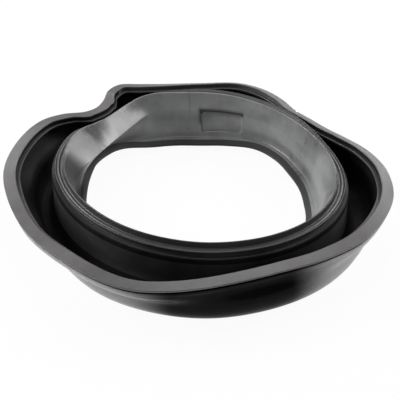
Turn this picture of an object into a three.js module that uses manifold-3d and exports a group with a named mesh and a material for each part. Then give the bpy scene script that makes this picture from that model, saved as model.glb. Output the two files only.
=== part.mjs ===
// Washing machine door seal: one rubber moulding, a bellows section lofted round a three-sided outline.
// Millimetres, +Z up. The seal lies on the floor of its trough, with the rim and the clamp ring on top.
import * as THREE from 'three';
import { mergeVertices } from 'three/addons/utils/BufferGeometryUtils.js';
import Module from 'manifold-3d';

// Directions are in degrees, anticlockwise from +X as seen from above, about the clamp ring's centre.
const STATIONS = 96;
const TURN_SPACING = 40;
const WALL = 3;

// Clamp ring: the bead at the top of the neck, out of round by the amounts given, as rubber hangs
const RING_RADIUS = 144;
const RING_FLEX = [
  [0, 1], [15, -4], [30, -6], [45, -5.5], [60, -3], [75, 1], [90, 3.5], [100, 5.5], [109, 10], [116, 9.5],
  [124, 4], [133, -1.5], [140, -3], [146, 0], [153, 6], [165, 7], [180, 4], [195, -1], [210, -5],
  [225, -7.5], [240, -8.2], [255, -7.5], [270, -5], [285, -2], [300, 2], [315, 5.6], [330, 7], [345, 5.5],
];
const RING_HEIGHT = 54;
const RING_WIDTH = 9.6;
const RING_DEPTH = 11;
const RING_INNER_RISE = 5;
const INNER_EDGE_WIDTH = 1.4;
const BEAD_GROOVE_DEPTH = 1.2;
const GROOVE_FLANK = 0.8;
const RIDGES_WIDTH = 4.4;
const RIDGE_DIP = 1.4;
const CHAMFER = 0.8;

// Clamp groove and shoulder: outside the ring, where a clamp band presses the neck on its seat
const CLAMP_GROOVE_HEIGHT = 6;
const CLAMP_GROOVE_DEPTH = 2.5;
const SHOULDER_REACH = 3.4;
const SHOULDER_ROUNDING = 1.2;
const SHOULDER_SHARE = 0.4;

// Rim's outer edge: how far it reaches beyond the ring's circle, at the directions given
const RIM_REACH = [
  [0, 47], [12, 35], [22, 21.5], [30, 13.5], [39, 10.8], [48, 11.8], [57, 22], [66, 31], [76, 35],
  [90, 29.5], [104, 33], [112, 41], [118, 49], [123, 44], [128, 29.5], [133, 22.5], [138, 25],
  [144, 40.5], [151, 52], [164, 56], [182, 56], [210, 52], [228, 50], [243, 54], [252, 54.5], [260, 50],
  [270, 43], [282, 36.5], [295, 35], [310, 42], [326, 51], [345, 53.5],
];

// Floor of the trough: clear width between the neck and the outer wall, every 30 degrees
const TROUGH_FLOOR = [27, 25, 23, 22, 22, 20, 19, 23, 36, 38, 30, 23];
const BULGE_HEIGHT = 21;
const REST_WIDTH = 6;
const NECK_LEAN = 3;

// Rim: a band, sloping by the angles given every 30 degrees, a panel groove under it and a lip inside it
const RIM_DROP = 4;
const BAND_WIDTH = 12.4;
const BAND_SLOPE = [24, 26, 26, 26, 14, 8, 8, 8, 8, 8, 8, 14];
const BAND_THICKNESS = 2.6;
const BAND_EDGE = 1;
const BAND_BEAD = 0.7;
const PANEL_GROOVE_DEPTH = 8;
const PANEL_GROOVE_GAP = 2.8;
const LOWER_LIP_SETBACK = 2.5;
const LOWER_LIP_THICKNESS = 2.4;
const INNER_LIP_REACH = 5;
const INNER_LIP_DROP = 4;
const INNER_LIP_THICKNESS = 2.2;
const INNER_GROOVE_DEPTH = 1;
const LIP_ROUNDING = 0.8;
const TROUGH_CLEARANCE = 1.5;

// Door cone: the sealing wall, from the clamp ring down to a foot set in from the ring's circle
const FOOT_INSET = [
  [0, 29.8], [15, 29.5], [30, 27.8], [45, 21.8], [60, 18], [75, 23.5], [90, 26.8], [105, 23], [120, 16.6],
  [130, 11.6], [140, 9.8], [150, 10.2], [160, 15], [170, 18], [180, 19.8], [210, 26], [240, 30], [270, 29],
  [300, 25], [330, 23], [345, 26],
];
const FOOT_HEIGHT = 12;
const FOOT_RISE = 8;
const FLARE_REACH = 4;
const FLARE_HEIGHT = 5;
const OPENING_LIP_WIDTH = 7.5;
const OPENING_LIP_SLOPE = 28;
const OPENING_LIP_THICKNESS = 2.1;

// Fold: on one side the cone is creased inwards along a straight line
const FOLD_DIRECTION = 149;
const FOLD_CUT = 30;
const FOLD_HEIGHT = 41;
const FOLD_SPREAD = 36;
const FOLD_CORE = 10;
const FOLD_ROUNDING = 4;
const FOLD_NARROWEST = 0.3;

// Tip: beside the fold the outer side of the ring rolls down
const TIP_DIRECTION = 131;
const TIP_SPREAD = 21;
const TIP_CORE = 9;
const TIP_DROP = 4;

// Pad: a shallow rounded recess in the visible face of the cone
const PAD_DIRECTION = 79;
const PAD_WIDTH = 46;
const PAD_BOTTOM = 17;
const PAD_TOP = 41;
const PAD_CORNER = 4;
const PAD_DEPTH = 1.5;

// Locating tab: a block on the lower lip, inside the panel groove
const TAB_DIRECTION = 267;
const TAB_WIDTH = 20;
const TAB_HEIGHT = 1.8;
const TAB_THICKNESS = 4;
const TAB_SETBACK = 0.4;

// Notch across the outer edge of the band, where the joint of the moulding is trimmed
const NOTCH_DIRECTION = 47;
const NOTCH_WIDTH = 4;
const NOTCH_DEPTH = 4;
const CUT_PAST = 3;
const BLOCK_SPANS = 3;
const PLACE_PRECISION = 1e-6;

const { degToRad, euclideanModulo, lerp, radToDeg, smoothstep } = THREE.MathUtils;

// A closed smooth reading of [direction, value] pairs that go once round the seal, from direction 0
function around(pairs) {
  const knot = (k) => {
    const [direction, value] = pairs[euclideanModulo(k, pairs.length)];
    return { at: direction + 360 * Math.floor(k / pairs.length), value };
  };
  return (direction) => {
    const turned = euclideanModulo(direction, 360);
    const step = pairs.findLastIndex(([start]) => start <= turned);
    const [a, b, c, d] = [-1, 0, 1, 2].map((k) => knot(step + k));
    const span = c.at - b.at;
    const t = (turned - b.at) / span;
    const slopeIn = ((c.value - a.value) / (c.at - a.at)) * span;
    const slopeOut = ((d.value - b.value) / (d.at - b.at)) * span;
    const gain = c.value - b.value;
    const bend = slopeIn + slopeOut - 2 * gain;
    return b.value + slopeIn * t + (3 * gain - 2 * slopeIn - slopeOut) * t * t + bend * t * t * t;
  };
}

// Pairs for values that are evenly spaced round the seal
function evenly(values) {
  return values.map((value, i) => [(i * 360) / values.length, value]);
}

const ringFlex = around(RING_FLEX);
const floorWidth = around(evenly(TROUGH_FLOOR));
const footInset = around(FOOT_INSET);
const bandSlope = around(evenly(BAND_SLOPE));
const ringRadius = (direction) => RING_RADIUS + ringFlex(direction);
const rimHeight = RING_HEIGHT - RIM_DROP;

// Share of a local form at a direction: 1 along its core, fading to 0 at its spread on either side
function shareNear(direction, middle, core, spread) {
  const away = Math.abs(euclideanModulo(direction - middle + 180, 360) - 180);
  return 1 - smoothstep(away, core, spread);
}

// Outline of the rim band's outer edge, as a closed curve
const rimCurve = new THREE.CatmullRomCurve3(
  RIM_REACH.map(([direction, beyond]) => {
    const reach = RING_RADIUS + beyond;
    const angle = degToRad(direction);
    return new THREE.Vector3(reach * Math.cos(angle), reach * Math.sin(angle), 0);
  }),
  true,
  'centripetal',
);

// Shares of the outline at which stations stand, closer together where it turns
function stationShares() {
  const samples = STATIONS * 8;
  const travelled = [0];
  for (let i = 1; i <= samples; i += 1) {
    const [from, to] = [(i - 1) / samples, i / samples];
    const turn = rimCurve.getTangentAt(from).angleTo(rimCurve.getTangentAt(to));
    travelled.push(travelled[i - 1] + rimCurve.getLength() / samples + TURN_SPACING * turn);
  }
  const shares = [];
  for (let i = 0, k = 0; k < STATIONS; i += 1) {
    while (k < STATIONS && travelled[i + 1] > (k / STATIONS) * travelled[samples]) {
      const part = ((k / STATIONS) * travelled[samples] - travelled[i]) / (travelled[i + 1] - travelled[i]);
      shares.push((i + part) / samples);
      k += 1;
    }
  }
  return shares;
}

// One station of the loft: its direction, the rim's radius there and how aslant the outline runs
function station(share) {
  const point = rimCurve.getPointAt(share);
  const tangent = rimCurve.getTangentAt(share);
  const rim = point.length();
  const across = Math.abs(point.x * tangent.y - point.y * tangent.x) / rim;
  return { direction: radToDeg(Math.atan2(point.y, point.x)), rim, slant: 1 / across };
}

// Shifts a line of [radius, height] points sideways, to its left for a positive distance
function offset(line, distance) {
  return line.map(([r, z], i) => {
    const before = line[Math.max(i - 1, 0)];
    const after = line[Math.min(i + 1, line.length - 1)];
    const run = after[0] - before[0];
    const rise = after[1] - before[1];
    const length = Math.hypot(run, rise);
    return [r - (rise / length) * distance, z + (run / length) * distance];
  });
}

function bezier(a, b, c, d, steps) {
  const vectors = [a, b, c, d].map(([r, z]) => new THREE.Vector2(r, z));
  return new THREE.CubicBezierCurve(...vectors).getPoints(steps).map((p) => [p.x, p.y]);
}

function arc(centre, reach, height, from, to, steps) {
  const curve = new THREE.EllipseCurve(centre[0], centre[1], reach, height, from, to, to < from);
  return curve.getPoints(steps).map((p) => [p.x, p.y]);
}

// Widths that several parts of one section share
function widths({ direction, rim, slant }) {
  const ring = ringRadius(direction);
  const slope = degToRad(bandSlope(direction));
  const bandEdge = rim - BAND_WIDTH * Math.cos(slope) * slant;
  const room = Math.max(bandEdge - ring - TROUGH_CLEARANCE, 0);
  const neckFoot = ring + NECK_LEAN;
  return {
    direction,
    rim,
    slant,
    slope,
    bandEdge,
    ring,
    ringTop: RING_HEIGHT - TIP_DROP * shareNear(direction, TIP_DIRECTION, TIP_CORE, TIP_SPREAD),
    shoulder: Math.min(SHOULDER_REACH, room * SHOULDER_SHARE),
    innerLip: Math.min(INNER_LIP_REACH, room * (1 - SHOULDER_SHARE)),
    neckFoot,
    bulge: neckFoot + floorWidth(direction) + WALL,
  };
}

// Height of the band's underside at a distance in from its outer edge
function underside(slope, inward) {
  return rimHeight + inward * Math.tan(slope) - BAND_THICKNESS / Math.cos(slope);
}

const lowerLipTop = rimHeight - BAND_THICKNESS - PANEL_GROOVE_GAP;

// Outside of the rim: the band's edge, the panel groove and the lower lip
function rimOutside({ rim, slant, slope }) {
  const inward = (distance) => rim - distance * slant;
  return [
    [rim, rimHeight],
    [inward(BAND_EDGE), underside(slope, BAND_EDGE)],
    [inward(PANEL_GROOVE_DEPTH), underside(slope, PANEL_GROOVE_DEPTH)],
    [inward(PANEL_GROOVE_DEPTH), lowerLipTop + LIP_ROUNDING],
    [inward(LOWER_LIP_SETBACK + LIP_ROUNDING), lowerLipTop],
    [inward(LOWER_LIP_SETBACK), lowerLipTop - LOWER_LIP_THICKNESS / 2],
    [inward(LOWER_LIP_SETBACK + LIP_ROUNDING), lowerLipTop - LOWER_LIP_THICKNESS],
  ];
}

// Outside of the trough: the outer wall, its bulge, the flat it rests on and the hidden face of the neck
function troughOutside({ neckFoot, bulge, shoulder, ring, ringTop }, lipFoot) {
  const hiddenNeck = neckFoot - WALL;
  const middle = (bulge + hiddenNeck) / 2;
  const half = (bulge - hiddenNeck) / 2;
  const roundReach = half - REST_WIDTH / 2;
  const top = [bulge, BULGE_HEIGHT];
  const drop = (lipFoot[1] - BULGE_HEIGHT) / 2;
  const wall = bezier(lipFoot, [lipFoot[0], lipFoot[1] - drop], [bulge, BULGE_HEIGHT + drop], top, 3);
  const [side, under] = [0, -Math.PI / 2];
  const outer = arc([middle + REST_WIDTH / 2, BULGE_HEIGHT], roundReach, BULGE_HEIGHT, side, under, 3);
  const inner = arc([middle - REST_WIDTH / 2, BULGE_HEIGHT], roundReach, BULGE_HEIGHT, under, -Math.PI, 3);
  const neckTop = [ring + shoulder - WALL, ringTop - RING_DEPTH];
  const rise = (neckTop[1] - BULGE_HEIGHT) / 2;
  const neck = bezier([hiddenNeck, BULGE_HEIGHT], [hiddenNeck, BULGE_HEIGHT + rise], neckTop, neckTop, 2);
  return [...wall.slice(1), ...outer.slice(1), ...inner, ...neck.slice(1)];
}

// Visible face of the cone, from the foot up to the clamp ring, with its flare and its fold
function coneInside({ direction, ring }) {
  const fold = shareNear(direction, FOLD_DIRECTION, FOLD_CORE, FOLD_SPREAD);
  const top = [ring - RING_WIDTH, RING_HEIGHT + RING_INNER_RISE];
  const foot = [RING_RADIUS - footInset(direction), FOOT_HEIGHT + FOOT_RISE * fold];
  const straight = lerp(foot[0], top[0], (FOLD_HEIGHT - foot[1]) / (top[1] - foot[1]));
  const facing = Math.max(Math.cos(degToRad(direction - FOLD_DIRECTION)), FOLD_NARROWEST);
  const past = straight - (RING_RADIUS - FOLD_CUT) / facing;
  const crease = [straight - (past + Math.hypot(past, FOLD_ROUNDING)) / 2, FOLD_HEIGHT];
  const corner = [foot[0] + FLARE_REACH * (1 - fold), foot[1]];
  const share = FLARE_HEIGHT / (crease[1] - corner[1]);
  const flareTop = [lerp(corner[0], crease[0], share), corner[1] + FLARE_HEIGHT];
  return [...bezier(foot, corner, corner, flareTop, 3), crease, top];
}

// Lip round the opening, below the foot of the cone
function openingLip(foot) {
  const reach = OPENING_LIP_WIDTH * Math.cos(degToRad(OPENING_LIP_SLOPE));
  const drop = OPENING_LIP_WIDTH * Math.sin(degToRad(OPENING_LIP_SLOPE));
  const edge = [foot[0] - reach, foot[1] - drop];
  return [
    [foot[0] + WALL, foot[1] - OPENING_LIP_THICKNESS],
    [edge[0], edge[1] - OPENING_LIP_THICKNESS],
    edge,
  ];
}

// Top of the clamp ring: inner edge, bead groove, twin ridges, then the clamp groove and its shoulder
function clampRing({ ring, shoulder, ringTop: top }) {
  const innerEdge = ring - RING_WIDTH + INNER_EDGE_WIDTH;
  const grooveRoot = ring - CLAMP_GROOVE_DEPTH;
  const shoulderTop = top - CLAMP_GROOVE_HEIGHT;
  return [
    [innerEdge, RING_HEIGHT + RING_INNER_RISE],
    [innerEdge + GROOVE_FLANK, top - BEAD_GROOVE_DEPTH],
    [ring - RIDGES_WIDTH - GROOVE_FLANK, top - BEAD_GROOVE_DEPTH],
    [ring - RIDGES_WIDTH, top],
    [ring - (RIDGES_WIDTH + CHAMFER) / 2, top - RIDGE_DIP],
    [ring - CHAMFER, top],
    [ring, top - CHAMFER],
    [grooveRoot, top - CHAMFER - GROOVE_FLANK],
    [grooveRoot, shoulderTop - CHAMFER],
    [ring + shoulder - SHOULDER_ROUNDING, shoulderTop],
    [ring + shoulder, shoulderTop - SHOULDER_ROUNDING],
  ];
}

// Inside of the rim: the sealing lip, the groove above it and the band's inner edge
function rimInside({ bandEdge: edge, slope, innerLip }) {
  const top = rimHeight + BAND_WIDTH * Math.sin(slope);
  const lipTop = top - INNER_LIP_DROP;
  const lipEdge = edge - innerLip;
  return [
    [lipEdge + LIP_ROUNDING, lipTop - INNER_LIP_THICKNESS],
    [lipEdge, lipTop - INNER_LIP_THICKNESS / 2],
    [lipEdge + LIP_ROUNDING, lipTop],
    [edge, lipTop - INNER_GROOVE_DEPTH],
    [edge - BAND_BEAD, top - BAND_BEAD],
    [edge, top],
  ];
}

// The whole section at one station, as a closed line of [radius, height] points
function section(place) {
  const size = widths(place);
  const outsideRim = rimOutside(size);
  const lipFoot = outsideRim[outsideRim.length - 1];
  const outside = troughOutside(size, lipFoot);
  const cone = coneInside(size);
  const underRing = [size.ring - WALL, size.ringTop - RING_DEPTH];
  const hiddenCone = offset(cone, -WALL).slice(1, -1).reverse();
  const troughInside = offset(outside.slice(0, -1), -WALL).reverse();
  return [
    ...outsideRim,
    ...outside,
    underRing,
    ...hiddenCone,
    ...openingLip(cone[0]),
    ...cone,
    ...clampRing(size),
    ...troughInside,
    ...rimInside(size),
  ];
}

// Cylinder coordinates to a point: direction in degrees, then radius and height
function polar(direction, [radius, height]) {
  const angle = degToRad(direction);
  return [radius * Math.cos(angle), radius * Math.sin(angle), height];
}

// A closed solid skinned over sections of equal length, joined into a ring or capped at both ends
function skin(sections, isRing) {
  const count = sections[0].length;
  const indices = [];
  const spans = isRing ? sections.length : sections.length - 1;
  for (let i = 0; i < spans; i += 1) {
    const next = (i + 1) % sections.length;
    for (let j = 0; j < count; j += 1) {
      const below = (j + 1) % count;
      const [a, b] = [i * count + j, i * count + below];
      const [c, d] = [next * count + j, next * count + below];
      indices.push(a, b, c, b, d, c);
    }
  }
  if (!isRing) {
    const last = (sections.length - 1) * count;
    for (let j = 1; j < count - 1; j += 1) {
      indices.push(0, j + 1, j, last, last + j, last + j + 1);
    }
  }
  const geometry = new THREE.BufferGeometry();
  geometry.setAttribute('position', new THREE.Float32BufferAttribute(sections.flat(2), 3));
  geometry.setIndex(indices);
  return geometry;
}

// The outline's station that looks in a given direction
function placeAt(direction) {
  const turnTo = (place) => euclideanModulo(place.direction - direction + 180, 360) - 180;
  let [low, high] = [0, 0];
  const samples = STATIONS * 4;
  for (let i = 0; i < samples; i += 1) {
    if (turnTo(station(i / samples)) <= 0 && turnTo(station((i + 1) / samples)) > 0) {
      [low, high] = [i / samples, (i + 1) / samples];
    }
  }
  while (high - low > PLACE_PRECISION) {
    const middle = (low + high) / 2;
    if (turnTo(station(middle)) <= 0) low = middle;
    else high = middle;
  }
  return station(low);
}

// Radius of the cone's visible face at a direction and height
function coneRadius(direction, height) {
  const line = coneInside({ direction, ring: ringRadius(direction) });
  const above = Math.max(line.findIndex(([, z]) => z >= height), 1);
  const [[r0, z0], [r1, z1]] = [line[above - 1], line[above]];
  return r0 + ((r1 - r0) * (height - z0)) / (z1 - z0);
}

// Solid that takes the pad out of the cone: columns side by side, shorter where the corners round off
function padCutter() {
  const middle = (PAD_BOTTOM + PAD_TOP) / 2;
  const reach = coneRadius(PAD_DIRECTION, middle);
  const half = PAD_WIDTH / 2;
  const corner = [0, 30, 60, 90].map((turn) => half - PAD_CORNER * (1 - Math.cos(degToRad(turn))));
  const across = [...corner, half / 3];
  return skin(
    [...across.map((s) => -s), ...across.reverse()].map((s) => {
      const into = Math.max(Math.abs(s) - (half - PAD_CORNER), 0);
      const trim = PAD_CORNER - Math.sqrt(Math.max(PAD_CORNER ** 2 - into ** 2, 0));
      const direction = PAD_DIRECTION + radToDeg(s / reach);
      const [low, high] = [PAD_BOTTOM + trim, PAD_TOP - trim];
      const [lowFace, highFace] = [coneRadius(direction, low), coneRadius(direction, high)];
      const outline = [
        [lowFace - CUT_PAST, low],
        [highFace - CUT_PAST, high],
        [highFace + PAD_DEPTH, high],
        [lowFace + PAD_DEPTH, low],
      ];
      return outline.map((point) => polar(direction, point));
    }),
    false,
  );
}

// A block that follows the rim between two directions, with a section measured from the rim there
function rimBlock(direction, width, outline) {
  const reach = placeAt(direction).rim;
  const sections = [];
  for (let i = 0; i <= BLOCK_SPANS; i += 1) {
    const along = width * (i / BLOCK_SPANS - 1 / 2);
    const place = placeAt(direction + radToDeg(along / reach));
    sections.push(outline(place).map((point) => polar(place.direction, point)));
  }
  return skin(sections, false);
}

function locatingTab() {
  return rimBlock(TAB_DIRECTION, TAB_WIDTH, (place) => {
    const outer = place.rim - (LOWER_LIP_SETBACK + LIP_ROUNDING + TAB_SETBACK) * place.slant;
    const inner = outer - TAB_THICKNESS * place.slant;
    const foot = lowerLipTop - LOWER_LIP_THICKNESS / 2;
    return [
      [outer, lowerLipTop + TAB_HEIGHT],
      [outer, foot],
      [inner, foot],
      [inner, lowerLipTop + TAB_HEIGHT],
    ];
  });
}

function notchCutter() {
  return rimBlock(NOTCH_DIRECTION, NOTCH_WIDTH, ({ direction, rim, slant }) => {
    const root = rim - NOTCH_DEPTH * slant;
    const slope = degToRad(bandSlope(direction));
    const above = rimHeight + BAND_WIDTH * Math.sin(slope);
    return [
      [rim + CUT_PAST, above],
      [rim + CUT_PAST, underside(slope, BAND_EDGE) - CHAMFER],
      [root, underside(slope, NOTCH_DEPTH) - CHAMFER],
      [root, above],
    ];
  });
}

const wasm = await Module();
wasm.setup();

function solid(geometry) {
  const merged = mergeVertices(geometry);
  return new wasm.Manifold(
    new wasm.Mesh({
      numProp: 3,
      vertProperties: merged.attributes.position.array,
      triVerts: Uint32Array.from(merged.index.array),
    }),
  );
}

// The whole moulding, moved so that its box stands centred on the origin with its lowest face at 0
function moulding() {
  const shell = skin(
    stationShares().map((share) => {
      const place = station(share);
      return section(place).map((point) => polar(place.direction, point));
    }),
    true,
  );
  const withTab = solid(shell).add(solid(locatingTab()));
  const whole = withTab.subtract(solid(padCutter())).subtract(solid(notchCutter()));
  const mesh = whole.getMesh();
  const geometry = new THREE.BufferGeometry();
  geometry.setAttribute('position', new THREE.Float32BufferAttribute(mesh.vertProperties, 3));
  geometry.setIndex(Array.from(mesh.triVerts));
  geometry.computeBoundingBox();
  const middle = geometry.boundingBox.getCenter(new THREE.Vector3());
  geometry.translate(-middle.x, -middle.y, -geometry.boundingBox.min.z);
  geometry.computeVertexNormals();
  return geometry;
}

const seal = new THREE.Mesh(
  moulding(),
  new THREE.MeshStandardMaterial({ color: 0x1c1c1d, roughness: 0.45, metalness: 0 }),
);
seal.name = 'door_seal';

const model = new THREE.Group();
model.add(seal);

export default model;
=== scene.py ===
# Washing machine door seal in moulded rubber: the bellows lofted round its rim, then finished and lit.
import math

import bpy
import numpy as np
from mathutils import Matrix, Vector


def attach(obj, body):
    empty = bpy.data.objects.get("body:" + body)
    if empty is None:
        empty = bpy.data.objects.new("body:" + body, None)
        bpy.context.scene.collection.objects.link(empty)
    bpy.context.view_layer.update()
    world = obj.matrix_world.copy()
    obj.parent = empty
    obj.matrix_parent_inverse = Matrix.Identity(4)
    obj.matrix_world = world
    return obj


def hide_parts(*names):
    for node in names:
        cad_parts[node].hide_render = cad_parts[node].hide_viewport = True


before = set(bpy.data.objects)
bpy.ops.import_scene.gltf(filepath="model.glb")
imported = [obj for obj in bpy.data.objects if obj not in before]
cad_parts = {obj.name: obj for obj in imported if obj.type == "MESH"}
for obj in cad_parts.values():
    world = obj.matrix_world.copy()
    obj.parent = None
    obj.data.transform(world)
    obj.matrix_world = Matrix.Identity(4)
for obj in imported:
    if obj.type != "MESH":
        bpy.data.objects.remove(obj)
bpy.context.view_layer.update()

MM = 0.001

# Sizes in millimetres and directions in degrees, anticlockwise from +X about the clamp ring's centre
WALL = 3

# Stations along the rim: their number, what a turn of one radian adds to the way, and the least gap
STATIONS = 440
TURN_SPACING = 40
STATION_GAP = 0.5

# Clamp ring, which is a little out of round, with its ridges, grooves and shoulder
RING_RADIUS = 144
RING_FLEX = [
    (0, 1), (15, -4), (30, -6), (45, -5.5), (60, -3), (75, 1), (90, 3.5), (100, 5.5), (109, 10),
    (116, 9.5), (124, 4), (133, -1.5), (140, -3), (146, 0), (153, 6), (165, 7), (180, 4), (195, -1),
    (210, -5), (225, -7.5), (240, -8.2), (255, -7.5), (270, -5), (285, -2), (300, 2), (315, 5.6),
    (330, 7), (345, 5.5),
]
RING_HEIGHT = 54
RING_WIDTH = 9.6
RING_DEPTH = 11
RING_INNER_RISE = 5
INNER_EDGE_WIDTH = 1.4
BEAD_GROOVE_DEPTH = 1.2
GROOVE_FLANK = 0.8
RIDGES_WIDTH = 4.4
RIDGE_DIP = 1.4
CHAMFER = 0.8
CLAMP_GROOVE_HEIGHT = 6
CLAMP_GROOVE_DEPTH = 2.5
SHOULDER_REACH = 3.4
SHOULDER_SHARE = 0.4
SHOULDER_FALL = 0.2

# Outline of the rim as its reach past the ring's radius, and the trough between them
RIM_REACH = [
    (0, 47), (12, 35), (22, 21.5), (30, 13.5), (39, 10.8), (48, 11.8), (57, 22), (66, 31), (76, 35),
    (90, 29.5), (104, 33), (112, 41), (118, 49), (123, 44), (128, 29.5), (133, 22.5), (138, 25),
    (144, 40.5), (151, 52), (164, 56), (182, 56), (210, 52), (228, 50), (243, 54), (252, 54.5),
    (260, 50), (270, 43), (282, 36.5), (295, 35), (310, 42), (326, 51), (345, 53.5),
]
TROUGH_FLOOR = [27, 25, 23, 22, 22, 20, 19, 23, 36, 38, 30, 23]
BULGE_HEIGHT = 21
REST_WIDTH = 6
NECK_LEAN = 3

# Rim band with the groove and the lip under it, and the lip inside it
RIM_DROP = 4
BAND_WIDTH = 12.4
BAND_SLOPE = [24, 26, 26, 26, 14, 8, 8, 8, 8, 8, 8, 14]
BAND_THICKNESS = 2.6
BAND_EDGE = 1
BAND_BEAD = 0.7
PANEL_GROOVE_DEPTH = 8
PANEL_GROOVE_GAP = 2.8
LOWER_LIP_SETBACK = 2.5
LOWER_LIP_THICKNESS = 2.4
INNER_LIP_REACH = 5
INNER_LIP_DROP = 4
INNER_LIP_THICKNESS = 2.2
INNER_GROOVE_DEPTH = 1
LIP_ROUNDING = 0.8
TROUGH_CLEARANCE = 1.5

# Foot of the cone with its flare and the lip round the opening
FOOT_INSET = [
    (0, 29.8), (15, 29.5), (30, 27.8), (45, 21.8), (60, 18), (75, 23.5), (90, 26.8), (105, 23),
    (120, 16.6), (130, 11.6), (140, 9.8), (150, 10.2), (160, 15), (170, 18), (180, 19.8), (210, 26),
    (240, 30), (270, 29), (300, 25), (330, 23), (345, 26),
]
FOOT_HEIGHT = 12
FOOT_RISE = 8
FLARE_REACH = 4
FLARE_HEIGHT = 5
OPENING_LIP_WIDTH = 7.5
OPENING_LIP_SLOPE = 28
OPENING_LIP_THICKNESS = 2.1

# Straight fold at the back left, where the ring also tips down a little
FOLD_DIRECTION = 149
FOLD_CUT = 30
FOLD_HEIGHT = 41
FOLD_SPREAD = 36
FOLD_CORE = 10
FOLD_ROUNDING = 4
FOLD_NARROWEST = 0.3
TIP_DIRECTION = 131
TIP_SPREAD = 21
TIP_CORE = 9
TIP_DROP = 4

# At the back right the ring's ridges rise to the level of its inner lip
LIFT_DIRECTION = 66
LIFT_SPREAD = 50
LIFT_CORE = 22
LIFT = 4.6

# Recessed pad on the cone, locating tab on the lower lip and notch in the rim band
PAD_DIRECTION = 79
PAD_WIDTH = 46
PAD_BOTTOM = 17
PAD_TOP = 41
PAD_CORNER = 4
PAD_DEPTH = 2.2
PAD_EDGE = 1.2
TAB_DIRECTION = 267
TAB_WIDTH = 20
TAB_HEIGHT = 1.8
TAB_THICKNESS = 4
TAB_SETBACK = 0.4
TAB_INSET = 0.5
TAB_FLANK = 0.3
NOTCH_DIRECTION = 47
NOTCH_WIDTH = 4
NOTCH_DEPTH = 4

# Mould seams on the cone: direction and lean per millimetre, and how they fade below a height
SEAMS = [(95, 0), (61.5, 0.2)]
SEAM_REACH = 46
SEAM_FADE = 0.06
SEAM_HEIGHT = 0.25
SEAM_WIDTH = 1.1

# Where stations stand beside steps and seams, and inward from the pad's ends
STEP_SIDES = (-0.2, 0.2)
SEAM_SIDES = (-1.2, -0.5, 0, 0.5, 1.2)
PAD_END_STATIONS = (-1.0, -0.3, 0.4, 1.2, 2.2, 3.2, 4.5)

# Shares of the cone's wall where section points stand, closer together at the pad's bottom and top
LOWER_WALL_SHARES = (0.02, 0.06, 0.11, 0.16, 0.3, 0.5, 0.7, 0.8, 0.84, 0.87, 0.9, 0.93, 0.96)
UPPER_WALL_SHARES = (0.2, 0.4, 0.6, 0.8)
WALL_STEPS = 12
QUARTER_STEPS = 8
FLARE_STEPS = 6
NECK_STEPS = 5

# How far the section's corners are cut back to round them, and the most of an edge that a cut takes
MOST_CUT = 0.45
BAND_ROUNDING = 0.5
BAND_EDGE_ROUNDING = 0.8
BAND_BEAD_ROUNDING = 0.3
PANEL_GROOVE_ROUNDING = 0.8
LOWER_LIP_ROUNDING = 1.1
INNER_LIP_ROUNDING = 1.0
INNER_GROOVE_ROUNDING = 0.6
HIDDEN_ROUNDING = 1
OPENING_LIP_ROUNDING = 0.9
FOOT_ROUNDING = 0.8
CREASE_ROUNDING = 1.2
RING_EDGE_ROUNDING = 1.1
RING_LIP_ROUNDING = 1.2
BEAD_GROOVE_ROUNDING = 1.0
RIDGE_ROUNDING = 1.3
CLAMP_GROOVE_ROUNDING = 0.6
SHOULDER_ROUNDING = 1.2

# Band finish in the rim's inner groove at the back, and cone finish on the ring's edge where it is seen
BACK_DIRECTION = 82
BACK_REACH = 38
EDGE_REACH = 90

# Left end of the cone, under the end of the fold, which is darkened with painted shade
FOLD_SHADE_DIRECTION = 188
FOLD_SHADE_CORE = 13
FOLD_SHADE_SPREAD = 24
FOLD_SHADE = 0.95

# Flanks of the outer wall, which are shinier and painted pale as a painted sheen
SHEEN_DIRECTIONS = [222, 338]
SHEEN_CORE = 22
SHEEN_SPREAD = 40

# The cone's wall swells a little into the opening, between its foot and the clamp ring
BELLY = 2.6
BELLY_MIDDLE = 33
BELLY_REACH = 19

# Thin walls wave a little, apart from where the seal rests
WAVINESS = 0.7
WAVE_LENGTH = 55
WAVE_START = 8
WAVE_FULL = 20

# Stands for a distance that is out of reach of every detail
FAR_AWAY = 1000

# Painted shade over the pad: a line and a cloud along its top that narrow to the right, a spot and a
# side line
PAD_SHADE_HEIGHT = 0.3
PAD_SHADE_LINE_CORE = 0.9
PAD_SHADE_LINE_REACH = 2.8
PAD_SHADE_LINE_TAPER = 0.9
PAD_SHADE_CLOUD_REACH = 8.0
PAD_SHADE_CLOUD_TAPER = 5.0
PAD_SHADE_CLOUD = 0.5
PAD_SHADE_PAST_ENDS = 2.5
PAD_SHADE_SPOT_CORE = 1.8
PAD_SHADE_SPOT_REACH = 4.4
PAD_SHADE_SIDE_OFFSET = 0.8
PAD_SHADE_SIDE_CORE = 0.3
PAD_SHADE_SIDE_REACH = 1.5
PAD_SHADE_SIDE = 0.8
PAD_SHADE_SIDE_MIDDLE = 7.0
PAD_SHADE_SIDE_HALF = 5.0
PAD_SHADE_SIDE_END = 9.0

# Marks in the rubber: streaks up the walls from the mould, clouds, patches, specks and soft dents
STREAKS_PER_METRE = 140.0
STREAK_BREAKS_PER_METRE = 25.0
CLOUDS_PER_METRE = 26.0
PATCHES_PER_METRE = 10.0
SPECKS_PER_METRE = 1400.0
DENTS_PER_METRE = 45.0
FINE_DEPTH = 0.3
DENT_DEPTH = 4
CLOUD_LOW = 0.4
CLOUD_HIGH = 0.6
STREAK_CONTRAST = 3
# Tone, cover and dullness of the painted shade, and of the dark lines along the mould seams
SHADE_AND_SEAM_TONE = (0.002, 0.002, 0.002, 1.0)
SHADE_AND_SEAM_COVER = 0.93
SHADE_AND_SEAM_DULLNESS = 0.5
SEAM_SHADE = 0.35
SEAM_SHADE_CORE = 0.2
SEAM_SHADE_REACH = 1
# Pale tone painted on the outer wall's flanks as a painted sheen
PAINTED_SHEEN_TONE = (0.26, 0.26, 0.26, 1.0)

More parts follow.
